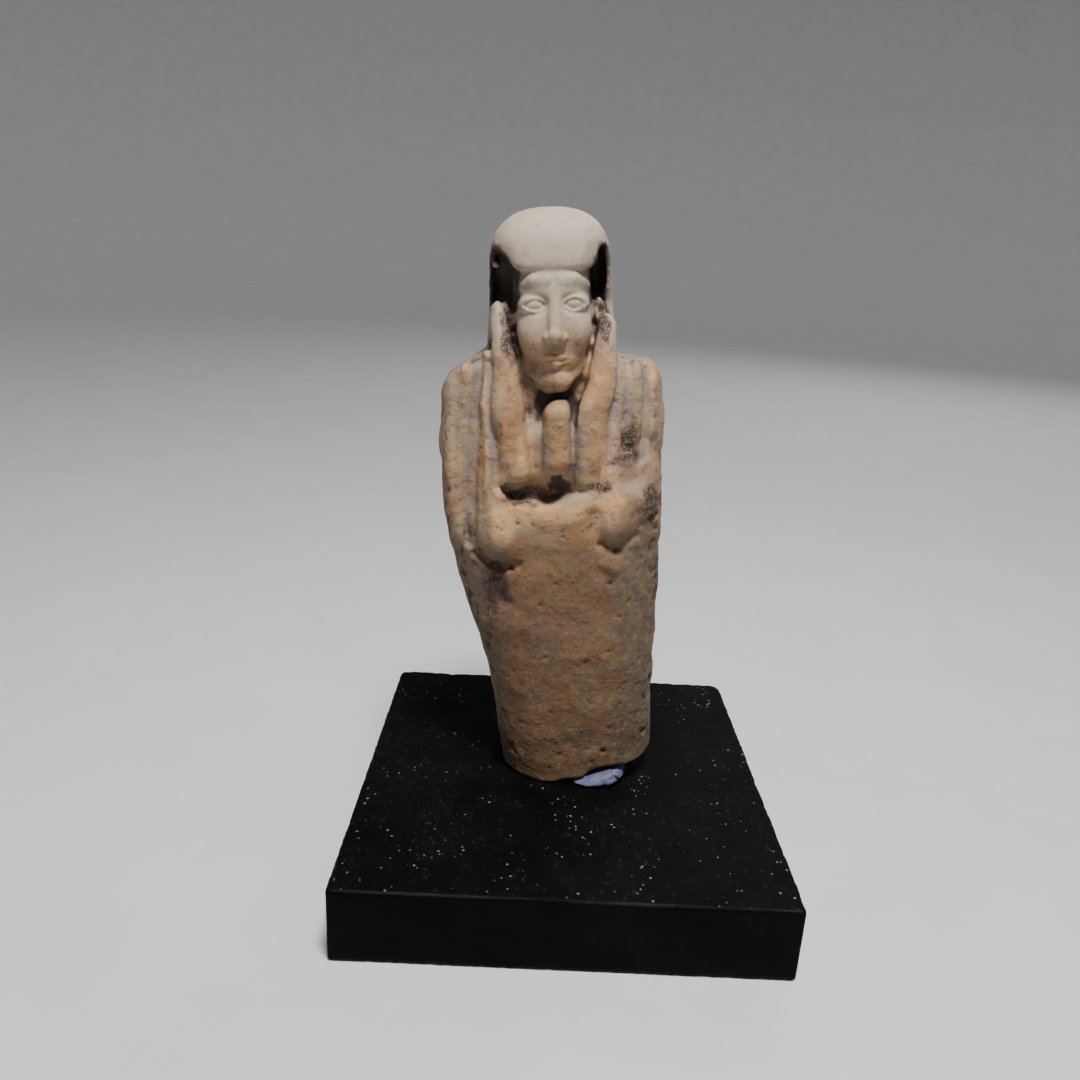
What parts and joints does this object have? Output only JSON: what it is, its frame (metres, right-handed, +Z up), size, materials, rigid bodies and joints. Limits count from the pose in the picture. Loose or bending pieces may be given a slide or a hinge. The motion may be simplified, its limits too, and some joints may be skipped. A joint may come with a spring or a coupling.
{
  "type": "ushabti figurine fragment on a display block",
  "caption": "Worn mummy-shaped funerary figurine, broken off below and leaning, stuck with putty to a flat square black display block.",
  "frame": {"origin": "centre of the display block's underside", "axes": "+Z up from the block to the figure's head, the figure faces -Y, and +X is on its left-hand side, the viewer's right"},
  "size_m": [0.06, 0.06, 0.093],
  "materials": {
    "weathered_faience": "matt, glaze lost, stained",
    "putty": "matt, pale lilac",
    "black_paint": "matt black paint on board"
  },
  "bodies": {
    "root": {"figure": "weathered_faience", "mounting_putty": "putty", "display_block": "black_paint"}
  },
  "joints": []
}
